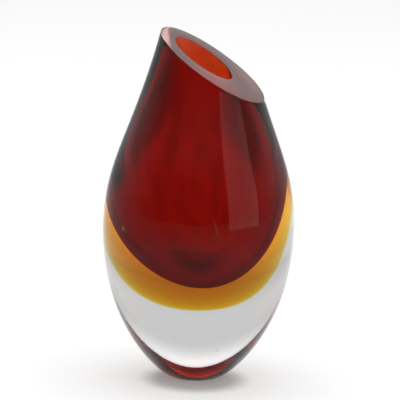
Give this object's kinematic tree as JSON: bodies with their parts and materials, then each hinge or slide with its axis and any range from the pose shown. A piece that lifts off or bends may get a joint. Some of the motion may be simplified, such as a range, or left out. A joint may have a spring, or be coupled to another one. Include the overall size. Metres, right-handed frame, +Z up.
{
  "type": "cased glass vase",
  "caption": "Heavy hand-blown vase: a ruby bubble in an amber sleeve, cased in thick clear glass, with a slanted sawn mouth and a flat foot.",
  "frame": {"origin": "middle of the flat foot, on the surface the vase stands on", "axes": "+Z up along the vase's axis; the mouth is sawn at a slant that is highest towards -X and falls towards +X"},
  "size_m": [0.13, 0.13, 0.2392],
  "materials": {
    "clear_glass": "fire-polished outside, cut and polished rim, ground foot",
    "amber_glass": "transparent amber, fused inside the clear glass",
    "ruby_glass": "transparent ruby, fire-polished well"
  },
  "bodies": {
    "root": {"clear_casing": "clear_glass", "amber_casing": "amber_glass", "ruby_bubble": "ruby_glass"}
  },
  "joints": []
}
